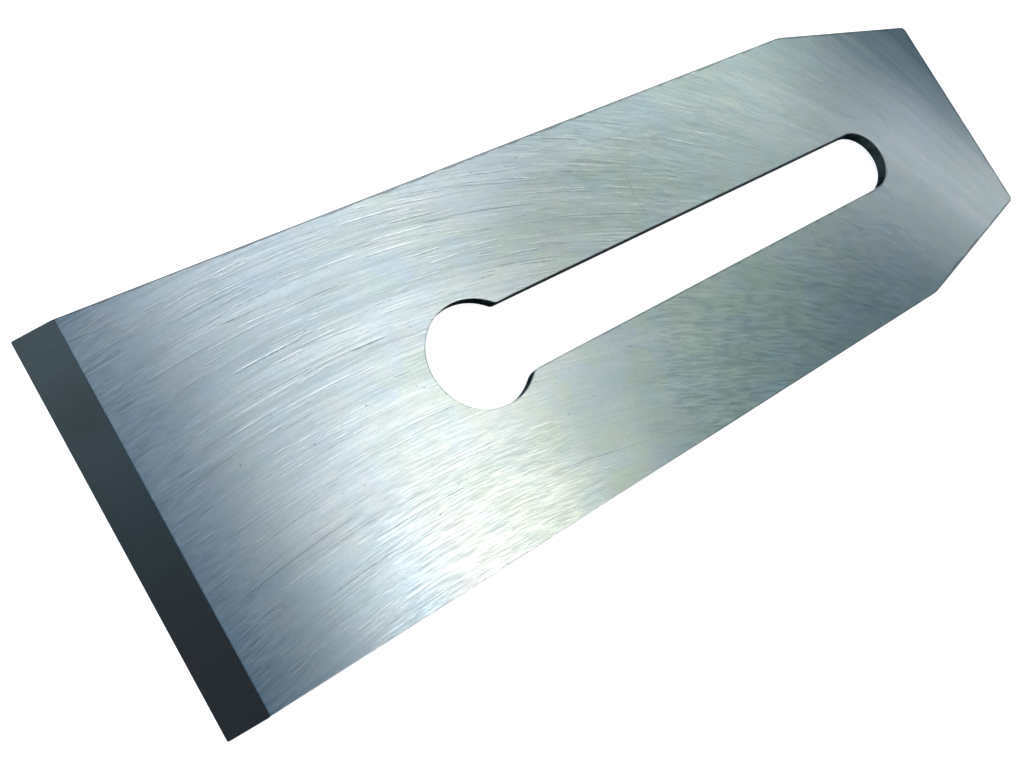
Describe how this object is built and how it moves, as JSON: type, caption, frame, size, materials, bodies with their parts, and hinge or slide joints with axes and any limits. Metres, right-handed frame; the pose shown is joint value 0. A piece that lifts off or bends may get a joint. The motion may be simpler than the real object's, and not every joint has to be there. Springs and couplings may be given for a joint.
{
  "type": "plane iron",
  "caption": "Flat steel cutter for a bench plane, with a single ground bevel, a keyhole slot for the cap screw and a clipped top end.",
  "frame": {"origin": "middle of the blade's length and width, on the flat back that it lies on", "axes": "+X along the blade from the cutting edge to the clipped top end, +Y across its width, +Z out of the bevel side"},
  "size_m": [0.188, 0.06, 0.0024],
  "materials": {
    "ground_steel": "surface ground in long arcs, with a smoother and darker ground bevel"
  },
  "bodies": {
    "root": {"plane_iron": "ground_steel"}
  },
  "joints": []
}
